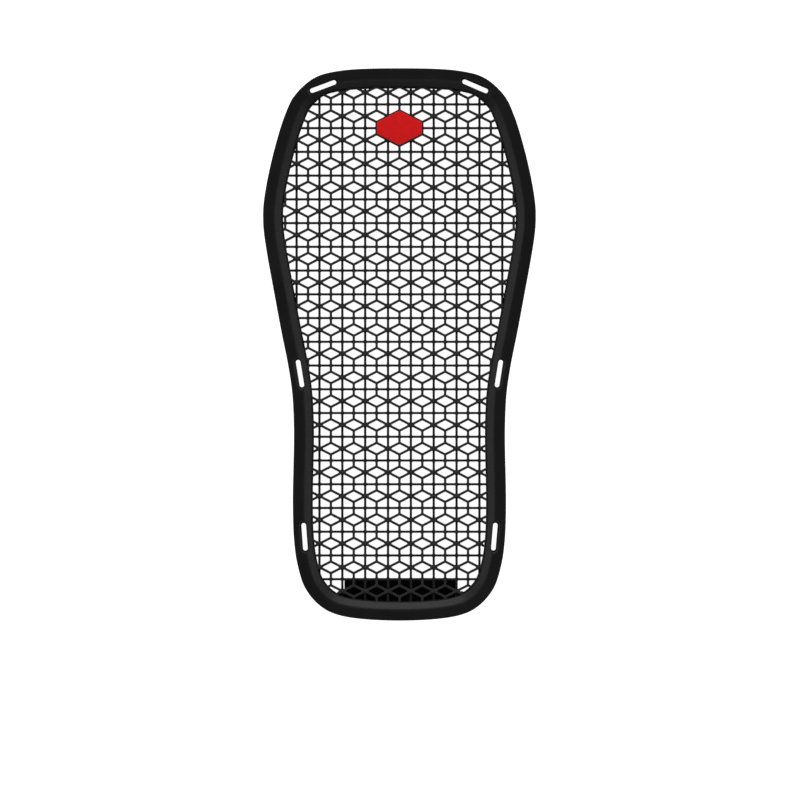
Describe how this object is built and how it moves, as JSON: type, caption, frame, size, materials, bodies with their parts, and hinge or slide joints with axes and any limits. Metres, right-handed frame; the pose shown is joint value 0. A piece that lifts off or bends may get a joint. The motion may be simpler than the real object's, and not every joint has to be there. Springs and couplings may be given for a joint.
{
  "type": "back protector",
  "caption": "Flat rubber back protector insert: hourglass rim with strap slots, open honeycomb lattice, red hexagonal badge, black patch.",
  "frame": {"origin": "on the ground under the middle of the insert's bounding box, as it lies on its back", "axes": "+Y towards the wearer's head, +Z out of the front face, away from the wearer's back, +X to the right as the front is seen"},
  "size_m": [0.2222, 0.45, 0.013],
  "materials": {
    "rim_rubber": "matt moulded black rubber",
    "lattice_rubber": "satin moulded black rubber",
    "badge_red": "satin red plastic",
    "patch_black": "flat black woven patch"
  },
  "bodies": {
    "root": {"edge_rim": "rim_rubber", "lattice_panel": "lattice_rubber", "badge": "badge_red", "rear_patch": "patch_black"}
  },
  "joints": []
}
